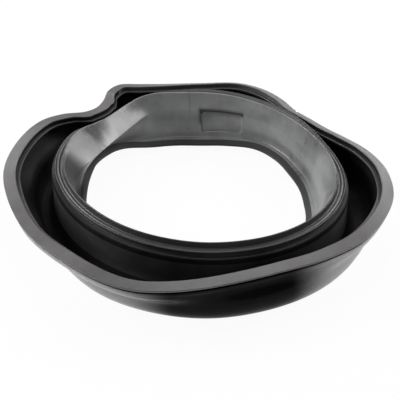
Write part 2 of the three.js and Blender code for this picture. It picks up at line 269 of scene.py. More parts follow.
# Finishes of the rubber, and the zones of the section that have each
FINISHES = {
    "band": {
        "name": "satin_band_rubber",
        "tone": (0.095, 0.09, 0.0925),
        "roughness": 0.4,
        "specular": 0.55,
        "bloom": 0.2,
        "streaks": 0.05,
        "grain": 0.25,
    },
    "cone": {
        "name": "glossy_cone_rubber",
        "tone": (0.155, 0.16, 0.157),
        "roughness": 0.32,
        "specular": 0.7,
        "bloom": 0.4,
        "streaks": 0.1,
        "cloudiness": 0.75,
        "dents": 0.07,
    },
    "lip": {
        "name": "dull_lip_rubber",
        "tone": (0.034, 0.032, 0.032),
        "roughness": 0.5,
        "specular": 0.25,
        "grain": 0.2,
    },
    "trough": {
        "name": "black_trough_rubber",
        "tone": (0.02, 0.019, 0.02),
        "roughness": 0.4,
        "specular": 0.03,
        "streaks": 0.02,
        "grain": 0.05,
        "cloudiness": 0.5,
        "dents": 0.1,
    },
    "neck": {
        "name": "black_neck_rubber",
        "tone": (0.06, 0.058, 0.059),
        "roughness": 0.4,
        "specular": 0.15,
        "streaks": 0.02,
        "grain": 0.05,
        "cloudiness": 0.5,
        "dents": 0.1,
    },
    "ring": {
        "name": "glossy_ring_rubber",
        "tone": (0.018, 0.0175, 0.018),
        "roughness": 0.52,
        "specular": 0.9,
        "streaks": 0.0,
        "grain": 0.0,
    },
    "body": {
        "name": "black_body_rubber",
        "tone": (0.005, 0.0047, 0.005),
        "roughness": 0.28,
        "specular": 0.06,
        "streaks": 0.02,
        "grain": 0.05,
        "cloudiness": 0.5,
        "dents": 0.08,
        "flank_sheen": 0.93,
    },
}
ZONES = {
    "band": ["band", "edge", "band_bead"],
    "cone": ["cone"],
    "ring": ["ring", "ring_edge", "ring_groove", "inner_lip"],
    "body": ["body", "groove", "lower_lip"],
    "trough": ["trough", "inner_groove"],
    "neck": ["neck", "clamp_groove"],
    "lip": ["lip"],
}

# Floor, and its share of plain white as the camera sees it and as the rubber mirrors it
FLOOR_SIZE = 12
FLOOR_TONE = (0.88, 0.88, 0.88, 1)
FLOOR_ROUGHNESS = 0.9
FLOOR_EVENNESS = 0.95
MIRRORED_EVENNESS = 1.0
WHITE = (1, 1, 1, 1)

# Faint even light, and lamps: name, direction, elevation, distance and side in metres, and watts
WORLD_LEVEL = 0.12
LAMPS = [
    ("overhead_softbox", 90, 84, 1.8, 0.5, 5),
    ("rear_softbox", 85, 50, 1.8, 0.6, 6),
    ("front_fill", 270, 30, 1.8, 1.0, 2),
    ("left_softbox", 168, 28, 1.6, 0.7, 23),
    ("left_rear_softbox", 122, 18, 1.6, 0.4, 4),
    ("right_rear_softbox", 60, 18, 1.6, 0.4, 4),
    ("right_softbox", 25, 33, 1.6, 0.7, 15),
]

# Camera of the photograph: where it aims, from the clamp ring's centre, and how far away it stands
SENSOR_WIDTH = 36
CAMERA_ELEVATION = 36
CAMERA_DISTANCE = 1300
CAMERA_AIM = (0, -37, 40)
PHOTO_WIDTH = 400
PIXELS_PER_RADIAN = 1300

rim_height = RING_HEIGHT - RIM_DROP


def around(pairs):
    """A closed smooth reading of (direction, value) pairs that go once round from direction 0."""
    starts, values = np.array(pairs, float).T
    starts = np.concatenate([starts[-1:] - 360, starts, starts[:2] + 360])
    values = np.concatenate([values[-1:], values, values[:2]])

    def read(direction):
        turned = np.mod(direction, 360)
        step = np.searchsorted(starts, turned, side="right") - 1
        x0, x1, x2, x3 = (starts[step + k] for k in (-1, 0, 1, 2))
        a, b, c, d = (values[step + k] for k in (-1, 0, 1, 2))
        t = (turned - x1) / (x2 - x1)
        slope_in = (c - a) / (x2 - x0) * (x2 - x1)
        slope_out = (d - b) / (x3 - x1) * (x2 - x1)
        bend = slope_in + slope_out - 2 * (c - b)
        return b + slope_in * t + (3 * (c - b) - 2 * slope_in - slope_out) * t**2 + bend * t**3

    return read


def evenly(values):
    return [(i * 360 / len(values), value) for i, value in enumerate(values)]


ring_flex = around(RING_FLEX)
floor_width = around(evenly(TROUGH_FLOOR))
foot_inset = around(FOOT_INSET)
band_slope = around(evenly(BAND_SLOPE))


def ring_radius(direction):
    return RING_RADIUS + ring_flex(direction)


def turn_from(direction, middle):
    """Signed angle from one direction to others, in degrees."""
    return np.mod(direction - middle + 180, 360) - 180


def smoothstep(value, low, high):
    share = np.clip((value - low) / (high - low), 0, 1)
    return share * share * (3 - 2 * share)


def rim_points(steps=64):
    """Closed centripetal curve through the outer edge of the rim band, as dense points."""
    directions, beyond = np.array(RIM_REACH, float).T
    reach = RING_RADIUS + beyond
    angle = np.radians(directions)
    knots = np.stack([reach * np.cos(angle), reach * np.sin(angle)], 1)
    t = (np.arange(steps) / steps)[:, None]
    spans = []
    for k in range(len(knots)):
        p0, p1, p2, p3 = (knots[(k + j) % len(knots)] for j in (-1, 0, 1, 2))
        d0, d1, d2 = (math.sqrt(np.linalg.norm(b - a)) for a, b in ((p0, p1), (p1, p2), (p2, p3)))
        leave = ((p1 - p0) / d0 - (p2 - p0) / (d0 + d1) + (p2 - p1) / d1) * d1
        arrive = ((p2 - p1) / d1 - (p3 - p1) / (d1 + d2) + (p3 - p2) / d2) * d1
        bend = 2 * p1 - 2 * p2 + leave + arrive
        spans.append(p1 + leave * t + (3 * p2 - 3 * p1 - 2 * leave - arrive) * t**2 + bend * t**3)
    return np.concatenate(spans)


def stations():
    """Directions, rim radii and slants where sections stand, closer at turns and at details."""
    rim = rim_points()
    step = np.roll(rim, -1, 0) - rim
    length = np.linalg.norm(step, axis=1)
    heading = np.unwrap(np.arctan2(step[:, 1], step[:, 0]))
    heading = np.append(heading, heading[0] + 2 * math.pi)
    turning = np.abs(np.diff(heading))
    travelled = np.append(0, np.cumsum(length))
    effort = np.append(0, np.cumsum(length + TURN_SPACING * turning))
    places = np.interp(np.arange(STATIONS) / STATIONS * effort[-1], effort, travelled)
    direction_at = np.degrees(np.unwrap(np.arctan2(*rim.T[::-1])))
    direction_at = np.append(direction_at, direction_at[0] + 360)

    def place_of(direction, sideways=0):
        turned = direction_at[0] + np.mod(direction - direction_at[0], 360)
        return np.interp(turned, direction_at, travelled) + sideways

    extra = []
    for middle, width in ((NOTCH_DIRECTION, NOTCH_WIDTH), (TAB_DIRECTION, TAB_WIDTH)):
        for side in (-1, 1):
            extra += [place_of(middle, side * width / 2 + near) for near in STEP_SIDES]
    for side in (-1, 1):
        for inward in PAD_END_STATIONS:
            across = side * (PAD_WIDTH / 2 - inward)
            extra.append(place_of(PAD_DIRECTION + math.degrees(across / pad_reach)))
    for seam, _ in SEAMS:
        extra += [place_of(seam, near) for near in SEAM_SIDES]
    extra = np.mod(extra, travelled[-1])
    kept = places[np.min(np.abs(places[:, None] - extra[None]), axis=1) > STATION_GAP]
    places = np.sort(np.append(kept, extra))
    closed = np.append(rim, rim[:1], 0)
    outline = np.stack([np.interp(places, travelled, closed[:, k]) for k in (0, 1)], 1)
    turned = np.interp(places, (travelled[1:] + travelled[:-1]) / 2, heading[:-1])
    radius = np.linalg.norm(outline, axis=1)
    across = np.abs(outline[:, 0] * np.sin(turned) - outline[:, 1] * np.cos(turned)) / radius
    return {
        "place": places,
        "whole": travelled[-1],
        "direction": np.degrees(np.arctan2(outline[:, 1], outline[:, 0])),
        "rim": radius,
        "slant": 1 / across,
        "notch": notch_at(places, place_of, travelled[-1]),
        "tab": tab_at(places, place_of, travelled[-1]),
    }


def beside(places, middle, whole):
    """Distance along the rim from a place on it, taking the shorter way round."""
    return np.abs(np.mod(places - middle + whole / 2, whole) - whole / 2)


def notch_at(places, place_of, whole):
    away = beside(places, place_of(NOTCH_DIRECTION), whole)
    return NOTCH_DEPTH * (away < NOTCH_WIDTH / 2)


def tab_at(places, place_of, whole):
    away = beside(places, place_of(TAB_DIRECTION), whole)
    return TAB_HEIGHT * (away < TAB_WIDTH / 2)


def point(radius, height):
    """A point of the section at every station."""
    return np.stack(np.broadcast_arrays(np.asarray(radius, float), np.asarray(height, float)), -1)


def mix(a, b, share):
    return a + (b - a) * np.asarray(share)[..., None]


def bezier(a, b, c, d, steps):
    t = np.linspace(0, 1, steps + 1)[:, None, None]
    return list(a * (1 - t) ** 3 + 3 * b * t * (1 - t) ** 2 + 3 * c * t**2 * (1 - t) + d * t**3)


def quarter(centre, reach, height, start, steps):
    """A quarter of an ellipse, clockwise from an angle."""
    turns = np.radians(start - np.linspace(0, 90, steps + 1))
    return [centre + point(reach * math.cos(a), height * math.sin(a)) for a in turns]


def offset(line, distance):
    """Shifts a line of section points sideways, to its left for a positive distance."""
    shifted = []
    for i, here in enumerate(line):
        run = line[min(i + 1, len(line) - 1)] - line[max(i - 1, 0)]
        run = run / np.linalg.norm(run, axis=1)[:, None]
        shifted.append(here + np.stack([-run[:, 1], run[:, 0]], 1) * distance)
    return shifted


def share_near(direction, middle, core, spread):
    """Share of a local form: 1 along its core, fading to 0 at its spread on either side."""
    return 1 - smoothstep(np.abs(turn_from(direction, middle)), core, spread)


def cone_face(direction, ring):
    """Visible face of the cone: foot, flare, wall up to the crease, and wall up to the clamp ring."""
    fold = share_near(direction, FOLD_DIRECTION, FOLD_CORE, FOLD_SPREAD)
    top = point(ring - RING_WIDTH, RING_HEIGHT + RING_INNER_RISE)
    foot = point(RING_RADIUS - foot_inset(direction), FOOT_HEIGHT + FOOT_RISE * fold)
    share = (FOLD_HEIGHT - foot[:, 1]) / (top[:, 1] - foot[:, 1])
    straight = mix(foot, top, share)[:, 0]
    facing = np.maximum(np.cos(np.radians(direction - FOLD_DIRECTION)), FOLD_NARROWEST)
    past = straight - (RING_RADIUS - FOLD_CUT) / facing
    crease = point(straight - (past + np.hypot(past, FOLD_ROUNDING)) / 2, FOLD_HEIGHT)
    corner = point(foot[:, 0] + FLARE_REACH * (1 - fold), foot[:, 1])
    flare_top = mix(corner, crease, FLARE_HEIGHT / (crease[:, 1] - corner[:, 1]))
    return foot, corner, flare_top, crease, top


def pad_radius():
    """Radius of the cone's visible face in the middle of the pad."""
    direction = np.array([PAD_DIRECTION], float)
    _, _, flare_top, crease, _ = cone_face(direction, ring_radius(direction))
    middle = (PAD_BOTTOM + PAD_TOP) / 2
    share = (middle - flare_top[0, 1]) / (crease[0, 1] - flare_top[0, 1])
    return mix(flare_top, crease, share)[0, 0]


pad_reach = pad_radius()


class Section:
    """Corners of the section in order, each with its rounding and the zone of the face after it."""

    def __init__(self):
        self.corners = []

    def add(self, zone, rounding, *points):
        self.corners += [(p, rounding, zone) for p in points]

    def rounded(self, steps=3):
        """Section points with their corners rounded off, and the zone of the face after each."""
        line = []
        zones = []
        for k, (here, rounding, zone) in enumerate(self.corners):
            if rounding == 0:
                line.append(here)
                zones.append(zone)
                continue
            before = self.corners[k - 1][0] - here
            after = self.corners[(k + 1) % len(self.corners)][0] - here
            length_before = np.linalg.norm(before, axis=1)[:, None]
            length_after = np.linalg.norm(after, axis=1)[:, None]
            cut = np.minimum(rounding, MOST_CUT * np.minimum(length_before, length_after))
            start = here + before / length_before * cut
            end = here + after / length_after * cut
            for t in np.linspace(0, 1, steps + 1):
                line.append(start * (1 - t) ** 2 + here * 2 * t * (1 - t) + end * t**2)
                zones.append(zone)
        return np.stack(line, 1), zones


def underside(slope, inward):
    return rim_height + inward * np.tan(slope) - BAND_THICKNESS / np.cos(slope)


def build_section(st):
    """Closed section of the bellows at every station, and the zone of each of its faces."""
    direction, rim, slant = st["direction"], st["rim"], st["slant"]
    ring = ring_radius(direction)
    ring_top = RING_HEIGHT - TIP_DROP * share_near(direction, TIP_DIRECTION, TIP_CORE, TIP_SPREAD)
    ring_top = ring_top + LIFT * share_near(direction, LIFT_DIRECTION, LIFT_CORE, LIFT_SPREAD)
    slope = np.radians(band_slope(direction))
    edge = rim - BAND_WIDTH * np.cos(slope) * slant
    room = np.maximum(edge - ring - TROUGH_CLEARANCE, 0)
    shoulder = np.minimum(SHOULDER_REACH, room * SHOULDER_SHARE)
    inner_lip = np.minimum(INNER_LIP_REACH, room * (1 - SHOULDER_SHARE))
    neck_foot = ring + NECK_LEAN
    bulge = neck_foot + floor_width(direction) + WALL
    lower_lip_top = rim_height - BAND_THICKNESS - PANEL_GROOVE_GAP
    made = Section()

    def inward(distance):
        return rim - distance * slant

    # Band edge, panel groove with its tab, and lower lip
    cut = st["notch"]
    groove_end = inward(PANEL_GROOVE_DEPTH)
    groove_roof = underside(slope, PANEL_GROOVE_DEPTH)
    groove_bottom = lower_lip_top + LIP_ROUNDING / 2
    made.add("edge", BAND_EDGE_ROUNDING, point(inward(cut), rim_height + cut * np.tan(slope)))
    made.add("groove", BAND_ROUNDING, point(inward(BAND_EDGE + cut), underside(slope, BAND_EDGE + cut)))
    made.add("groove", PANEL_GROOVE_ROUNDING, point(groove_end, groove_roof))
    made.add("groove", PANEL_GROOVE_ROUNDING, point(groove_end, groove_bottom))
    tab_outer = LOWER_LIP_SETBACK + LIP_ROUNDING + TAB_SETBACK
    tab_top = lower_lip_top + st["tab"]
    tab_inner = tab_outer + TAB_THICKNESS - TAB_INSET
    made.add("groove", 0, point(inward(tab_inner), lower_lip_top))
    made.add("lower_lip", 0, point(inward(tab_inner - TAB_FLANK), tab_top))
    made.add("lower_lip", 0, point(inward(tab_outer + TAB_FLANK), tab_top))
    made.add("lower_lip", 0, point(inward(tab_outer), lower_lip_top))
    lip_foot = point(inward(LOWER_LIP_SETBACK), lower_lip_top - LOWER_LIP_THICKNESS)
    made.add("lower_lip", LOWER_LIP_ROUNDING, point(inward(LOWER_LIP_SETBACK), lower_lip_top), lip_foot)

    # Outer wall, bulge, the flat it rests on, and the hidden face of the neck
    hidden_neck = neck_foot - WALL
    middle = (bulge + hidden_neck) / 2
    round_reach = (bulge - hidden_neck - REST_WIDTH) / 2
    drop = (lip_foot[:, 1] - BULGE_HEIGHT) / 2
    wall = bezier(
        point(inward(LOWER_LIP_SETBACK + LIP_ROUNDING), lip_foot[:, 1]),
        point(inward(LOWER_LIP_SETBACK + LIP_ROUNDING), lip_foot[:, 1] - drop),
        point(bulge, BULGE_HEIGHT + drop),
        point(bulge, BULGE_HEIGHT),
        WALL_STEPS,
    )[1:]
    rest_outer = point(middle + REST_WIDTH / 2, BULGE_HEIGHT)
    rest_inner = point(middle - REST_WIDTH / 2, BULGE_HEIGHT)
    outer = quarter(rest_outer, round_reach, BULGE_HEIGHT, 0, QUARTER_STEPS)
    inner = quarter(rest_inner, round_reach, BULGE_HEIGHT, -90, QUARTER_STEPS)
    neck_top = point(ring + shoulder - WALL, ring_top - RING_DEPTH)
    rise = (neck_top[:, 1] - BULGE_HEIGHT) / 2
    neck = bezier(
        point(hidden_neck, BULGE_HEIGHT),
        point(hidden_neck, BULGE_HEIGHT + rise),
        neck_top,
        neck_top,
        NECK_STEPS,
    )[1:-1]
    shell = [*wall, *outer[1:], *inner, *neck]
    made.add("body", 0, *shell)
    made.add("body", HIDDEN_ROUNDING, neck_top, point(ring - WALL, ring_top - RING_DEPTH))

    # Hidden face of the cone, opening lip, and the cone's visible face
    foot, corner, flare_top, crease, top = cone_face(direction, ring)
    flare = bezier(foot, corner, corner, flare_top, FLARE_STEPS)
    behind = offset([*flare, crease, top], -WALL)[1:-1]
    made.add("body", 0, *behind[::-1])
    reach = OPENING_LIP_WIDTH * math.cos(math.radians(OPENING_LIP_SLOPE))
    fall = OPENING_LIP_WIDTH * math.sin(math.radians(OPENING_LIP_SLOPE))
    lip_edge = foot - point(reach, fall)
    made.add("body", HIDDEN_ROUNDING, foot + point(WALL, -OPENING_LIP_THICKNESS))
    made.add("lip", OPENING_LIP_ROUNDING, lip_edge - point(0, OPENING_LIP_THICKNESS), lip_edge)
    made.add("cone", FOOT_ROUNDING, foot)
    made.add("cone", 0, *flare[1:])
    for share in LOWER_WALL_SHARES:
        made.add("cone", 0, mix(flare_top, crease, share))
    made.add("cone", CREASE_ROUNDING, crease)
    for share in UPPER_WALL_SHARES:
        made.add("cone", 0, mix(crease, top, share))

    # Clamp ring: inner edge, bead groove, twin ridges, clamp groove and shoulder
    inner_edge = ring - RING_WIDTH + INNER_EDGE_WIDTH
    groove_floor = ring_top - BEAD_GROOVE_DEPTH
    shoulder_top = ring_top - CLAMP_GROOVE_HEIGHT
    ridges_edge = ring - RIDGES_WIDTH
    between_ridges = ring - (RIDGES_WIDTH + CHAMFER) / 2
    root = ring - CLAMP_GROOVE_DEPTH
    made.add("ring_edge", RING_EDGE_ROUNDING, top)
    made.add("ring_groove", RING_LIP_ROUNDING, point(inner_edge, RING_HEIGHT + RING_INNER_RISE))
    made.add("ring_groove", BEAD_GROOVE_ROUNDING, point(inner_edge + GROOVE_FLANK, groove_floor))
    made.add("ring", BEAD_GROOVE_ROUNDING, point(ridges_edge - GROOVE_FLANK, groove_floor))
    made.add("ring", RIDGE_ROUNDING, point(ridges_edge, ring_top))
    made.add("ring", BEAD_GROOVE_ROUNDING, point(between_ridges, ring_top - RIDGE_DIP))
    made.add("ring", RIDGE_ROUNDING, point(ring - CHAMFER, ring_top), point(ring, ring_top - CHAMFER))
    made.add("clamp_groove", CLAMP_GROOVE_ROUNDING, point(root, ring_top - CHAMFER - GROOVE_FLANK))
    made.add("clamp_groove", CLAMP_GROOVE_ROUNDING, point(root, shoulder_top - CHAMFER))
    made.add("trough", SHOULDER_ROUNDING, point(ring + shoulder, shoulder_top - SHOULDER_FALL))

    # Inside of the trough, then the inner lip and the band's inner edge
    inside = offset([*wall[2:], *outer[1:], *inner, *neck, neck_top], -WALL)[:-1][::-1]
    made.add("neck", 0, *inside[: len(neck) + 2])
    made.add("trough", 0, *inside[len(neck) + 2 :])
    band_top = rim_height + BAND_WIDTH * np.sin(slope)
    lip_top = band_top - INNER_LIP_DROP
    lip_end = edge - inner_lip
    lip_under = lip_top - INNER_LIP_THICKNESS
    made.add("inner_lip", INNER_LIP_ROUNDING, point(lip_end, lip_under), point(lip_end, lip_top))
    made.add("inner_groove", INNER_GROOVE_ROUNDING, point(edge, lip_top - INNER_GROOVE_DEPTH))
    made.add("band_bead", BAND_BEAD_ROUNDING, point(edge - BAND_BEAD, band_top - BAND_BEAD))
    made.add("band", BAND_ROUNDING, point(edge, band_top))
    return made.rounded()


def level_places(st, line):
    """X and Y of the section's points at every station, from the clamp ring's centre."""
    angle = np.radians(st["direction"])[:, None]
    return np.stack([line[..., 0] * np.cos(angle), line[..., 0] * np.sin(angle)], -1)


def ring_centre():
    """Place of the clamp ring's centre in the part's frame, which is centred on the outline's box."""
    st = stations()
    places = level_places(st, build_section(st)[0]).reshape(-1, 2)
    return -(places.min(0) + places.max(0)) / 2


def seal_mesh(centre):
    """The bellows as a closed mesh, with what the moulding's details and finishes need to know."""
    st = stations()
    line, zones = build_section(st)
    count, points = line.shape[:2]
    place = np.concatenate([level_places(st, line) + centre, line[..., 1:]], -1)
    i, j = np.meshgrid(np.arange(count), np.arange(points), indexing="ij")
    next_i, next_j = (i + 1) % count, (j + 1) % points
    here, onward = i * points, next_i * points
    quads = np.stack([here + j, here + next_j, onward + next_j, onward + j], -1)
    mesh = bpy.data.meshes.new("door_seal_rubber")
    mesh.from_pydata((place.reshape(-1, 3) * MM).tolist(), [], quads.reshape(-1, 4).tolist())
    mesh.polygons.foreach_set("use_smooth", [True] * len(mesh.polygons))

    whole = st["whole"]
    u = st["place"]
    u_next = np.append(u[1:], u[0] + whole)
    steps = np.linalg.norm(np.roll(line, -1, 1) - line, axis=2).mean(0)
    v = np.append(0, np.cumsum(steps))
    corner_u = np.stack([u[i], u[i], u_next[i], u_next[i]], -1)
    corner_v = np.stack([v[j], v[j + 1], v[j + 1], v[j]], -1)
    layer = mesh.uv_layers.new(name="along_seal")
    layer.data.foreach_set("uv", (np.stack([corner_u, corner_v], -1) * MM).ravel())

    names = sorted(set(zones))
    zone_of = np.array([names.index(z) for z in zones])[j]
    from_back = np.abs(turn_from(st["direction"], BACK_DIRECTION))[:, None]
    for reach, zone, instead in (
        (BACK_REACH, "inner_groove", "band"),
        (EDGE_REACH, "ring_edge", "cone"),
    ):
        changed = (from_back < reach) & (zone_of == names.index(zone))
        zone_of = np.where(changed, names.index(instead), zone_of)
    face_zone = mesh.attributes.new("zone", "INT", "FACE")
    face_zone.data.foreach_set("value", zone_of.ravel())

    def within(*wanted):
        return np.isin(zones, wanted).astype(float)[j]

    on_cone = within("cone")
    across_pad = np.radians(turn_from(st["direction"], PAD_DIRECTION))[:, None] * pad_reach
    below_top = RING_HEIGHT + RING_INNER_RISE - line[..., 1]
    lines = [turn_from(st["direction"][:, None], seam + lean * below_top) for seam, lean in SEAMS]
    faded = SEAM_FADE * np.maximum(SEAM_REACH - line[..., 1], 0)
    seam_gap = np.radians(np.min(np.abs(lines), 0)) * RING_RADIUS + faded
    flanks = [
        share_near(st["direction"], middle, SHEEN_CORE, SHEEN_SPREAD)
        for middle in SHEEN_DIRECTIONS
    ]
    swell = np.clip(1 - ((line[..., 1] - BELLY_MIDDLE) / BELLY_REACH) ** 2, 0, 1) ** 2
    unfolded = 1 - share_near(st["direction"], FOLD_DIRECTION, FOLD_CORE, FOLD_SPREAD)
    # Painted shade: the cone's wall is darkened at its left end, under the end of the fold
    fold_shade = FOLD_SHADE * share_near(st["direction"], FOLD_SHADE_DIRECTION, FOLD_SHADE_CORE, FOLD_SHADE_SPREAD)
    numbers = {
        "fold_shade": fold_shade[:, None] * on_cone,
        # Painted sheen on the outer wall's flanks
        "flank_sheen": np.max(flanks, 0)[:, None] * within("body", "lower_lip"),
        "belly": swell * unfolded[:, None] * on_cone,
        "across_pad": np.where(on_cone > 0, across_pad, FAR_AWAY) * MM,
        "seam_gap": np.where(within("cone", "ring", "ring_edge") > 0, seam_gap, FAR_AWAY) * MM,
        "thin_wall": within("cone", "neck", "trough", "body"),
    }
    for name, values in numbers.items():
        layer = mesh.attributes.new(name, "FLOAT", "POINT")
        layer.data.foreach_set("value", values.ravel())
    mesh.update()
    return mesh, names


class Tree:
    """A node tree with short calls for making and linking nodes."""

    def __init__(self, nodes_of):
        self.tree = nodes_of

    def add(self, kind, inputs=(), output=0, **settings):
        """Makes a node, sets or links its inputs by name or place, and gives one of its outputs."""
        node = self.tree.nodes.new(kind)
        for name, value in settings.items():
            setattr(node, name, value)
        for name, value in dict(inputs).items():
            if isinstance(value, bpy.types.NodeSocket):
                self.tree.links.new(value, node.inputs[name])
            else:
                node.inputs[name].default_value = value
        return node.outputs[output]

    def calc(self, operation, *values, clamp=False):
        """Arithmetic on numbers and outputs, such as calc("MULTIPLY", a, b)."""
        inputs = dict(enumerate(values))
        return self.add("ShaderNodeMath", inputs, operation=operation, use_clamp=clamp)

    def fading(self, value, start, end, strength=1.0):
        """Falls smoothly from a strength at the start to 0 at the end."""
        return self.add(
            "ShaderNodeMapRange",
            {"Value": value, "From Min": start, "From Max": end, "To Min": strength, "To Max": 0.0},
            interpolation_type="SMOOTHSTEP",
        )

    def named(self, attribute, kind="FLOAT"):
        """Reads what the mesh knows about each of its points or faces."""
        inputs = {"Name": attribute}
        return self.add("GeometryNodeInputNamedAttribute", inputs, data_type=kind)


def pad_distance(tree, given, height):
    """Distance past the edge of the pad, a rectangle with rounded corners; below zero inside it."""
    calc = tree.calc
    half_width = calc("MULTIPLY", given["Pad Width"], 0.5)
    half_height = calc("MULTIPLY", calc("SUBTRACT", given["Pad Top"], given["Pad Bottom"]), 0.5)
    middle = calc("MULTIPLY", calc("ADD", given["Pad Top"], given["Pad Bottom"]), 0.5)
    beside_pad = calc("ABSOLUTE", tree.named("across_pad"))
    over_pad = calc("ABSOLUTE", calc("SUBTRACT", height, middle))
    past_side = calc("ADD", calc("SUBTRACT", beside_pad, half_width), given["Pad Corner"])
    past_end = calc("ADD", calc("SUBTRACT", over_pad, half_height), given["Pad Corner"])
    side_sq = calc("POWER", calc("MAXIMUM", past_side, 0.0), 2.0)
    end_sq = calc("POWER", calc("MAXIMUM", past_end, 0.0), 2.0)
    outside = calc("SUBTRACT", calc("SQRT", calc("ADD", side_sq, end_sq)), given["Pad Corner"])
    inside = calc("MINIMUM", calc("MAXIMUM", past_side, past_end), 0.0)
    return calc("ADD", outside, inside)


def waves(tree, given, height):
    """Slight waves of the thin walls, which end above the floor."""
    calc = tree.calc
    wave = tree.add(
        "ShaderNodeTexNoise",
        {"W": given["Seed"], "Scale": calc("DIVIDE", 1.0, given["Wave Length"]), "Detail": 1.0},
        noise_dimensions="4D",
    )
    wave = calc("MULTIPLY", calc("SUBTRACT", wave, 0.5), calc("MULTIPLY", given["Waviness"], 2.0))
    clear_of_floor = tree.add(
        "ShaderNodeMapRange",
        {"Value": height, "From Min": WAVE_START * MM, "From Max": WAVE_FULL * MM},
    )
    return calc("MULTIPLY", wave, calc("MULTIPLY", tree.named("thin_wall"), clear_of_floor))


def swelling(tree, given, height):
    """How far the rubber moves out: seams and belly raised, pad pressed in, thin walls waved."""
    calc = tree.calc
    pad_edge = calc("MULTIPLY", given["Pad Edge"], -1.0)
    into_pad = tree.fading(pad_distance(tree, given, height), pad_edge, 0.0)
    near_seam = tree.fading(tree.named("seam_gap"), 0.0, given["Seam Width"])
    pressed = calc("MULTIPLY", into_pad, given["Pad Depth"])
    raised = calc("SUBTRACT", calc("MULTIPLY", near_seam, given["Seam Height"]), pressed)
    belly = calc("MULTIPLY", tree.named("belly"), given["Belly"])
    return calc("ADD", calc("ADD", raised, waves(tree, given, height)), belly)


def painted_shade_marks(tree, given, height):
    """Painted shade along the pad's top, at its right corner and down its right side, and the painted
    shade at the cone's left end.
    """
    calc = tree.calc
    across = tree.named("across_pad")
    beside_pad = calc("ABSOLUTE", across)
    half_width = calc("MULTIPLY", given["Pad Width"], 0.5)
    above_top = calc("SUBTRACT", height, given["Pad Top"])
    right_share = calc("ADD", calc("DIVIDE", across, given["Pad Width"]), 0.5)

    def narrowing(reach, taper):
        return calc("ADD", reach * MM, calc("MULTIPLY", right_share, -taper * MM))

    off_line = calc("ABSOLUTE", calc("SUBTRACT", above_top, PAD_SHADE_HEIGHT * MM))
    line_reach = narrowing(PAD_SHADE_LINE_REACH, PAD_SHADE_LINE_TAPER)
    line = tree.fading(off_line, PAD_SHADE_LINE_CORE * MM, line_reach)
    cloud_reach = narrowing(PAD_SHADE_CLOUD_REACH, PAD_SHADE_CLOUD_TAPER)
    cloud = tree.fading(calc("ABSOLUTE", above_top), 0.0, cloud_reach, PAD_SHADE_CLOUD)
    past_ends = calc("ADD", half_width, PAD_SHADE_PAST_ENDS * MM)
    within = tree.fading(beside_pad, half_width, past_ends)
    top_shade = calc("MULTIPLY", calc("MAXIMUM", line, cloud), within)

    to_corner = calc("SUBTRACT", across, half_width)
    corner_sq = calc("POWER", calc("ABSOLUTE", to_corner), 2.0)
    off_spot = calc("SQRT", calc("ADD", corner_sq, calc("POWER", off_line, 2.0)))
    spot = tree.fading(off_spot, PAD_SHADE_SPOT_CORE * MM, PAD_SHADE_SPOT_REACH * MM)

    off_side = calc("ABSOLUTE", calc("SUBTRACT", to_corner, PAD_SHADE_SIDE_OFFSET * MM))
    off_middle = calc("ABSOLUTE", calc("ADD", above_top, PAD_SHADE_SIDE_MIDDLE * MM))
    side_line = calc(
        "MULTIPLY",
        tree.fading(off_side, PAD_SHADE_SIDE_CORE * MM, PAD_SHADE_SIDE_REACH * MM, PAD_SHADE_SIDE),
        tree.fading(off_middle, PAD_SHADE_SIDE_HALF * MM, PAD_SHADE_SIDE_END * MM),
    )
    # The pad's painted shade: its recess darkened along the top, at the right corner and down the right
    # side
    painted_shade = calc("MAXIMUM", calc("MAXIMUM", top_shade, spot), side_line)
    return calc("MAXIMUM", painted_shade, tree.named("fold_shade"))


def details_tree(materials, zone_numbers):
    """Moves the rubber out to its details, stores the painted shade and lays the finishes on by zone.
    """
    group = bpy.data.node_groups.new("seal_details", "GeometryNodeTree")
    group.interface.new_socket("Geometry", in_out="INPUT", socket_type="NodeSocketGeometry")
    sizes = {
        "Pad Depth": PAD_DEPTH * MM,
        "Pad Width": PAD_WIDTH * MM,
        "Pad Bottom": PAD_BOTTOM * MM,
        "Pad Top": PAD_TOP * MM,
        "Pad Corner": PAD_CORNER * MM,
        "Pad Edge": PAD_EDGE * MM,
        "Belly": BELLY * MM,
        "Seam Height": SEAM_HEIGHT * MM,
        "Seam Width": SEAM_WIDTH * MM,
        "Waviness": WAVINESS * MM,
        "Wave Length": WAVE_LENGTH * MM,
        "Seed": 3.0,
    }
    for name in sizes:
        group.interface.new_socket(name, in_out="INPUT", socket_type="NodeSocketFloat")
    group.interface.new_socket("Geometry", in_out="OUTPUT", socket_type="NodeSocketGeometry")
    tree = Tree(group)
    given = group.nodes.new("NodeGroupInput").outputs
    height = tree.add("ShaderNodeSeparateXYZ", {0: tree.add("GeometryNodeInputPosition")}, output=2)
    push = tree.add(
        "ShaderNodeVectorMath",
        {0: tree.add("GeometryNodeInputNormal"), "Scale": swelling(tree, given, height)},
        operation="SCALE",
    )
    shape = tree.add("GeometryNodeSetPosition", {"Geometry": given["Geometry"], "Offset": push})
    shape = tree.add(
        "GeometryNodeStoreNamedAttribute",
        {"Geometry": shape, "Name": "painted_shade", "Value": painted_shade_marks(tree, given, height)},
        data_type="FLOAT",
        domain="POINT",
    )
    shape = tree.add("GeometryNodeRealizeInstances", {"Geometry": shape})
    for kind, numbers in zone_numbers.items():
        for number in numbers:
            chosen = tree.add(
                "FunctionNodeCompare",
                {2: tree.named("zone", "INT"), 3: number},
                data_type="INT",
                operation="EQUAL",
            )
            shape = tree.add(
                "GeometryNodeSetMaterial",
                {"Geometry": shape, "Selection": chosen, "Material": materials[kind]},
            )
    end = group.nodes.new("NodeGroupOutput")
    group.links.new(shape, end.inputs["Geometry"])
    return group, sizes


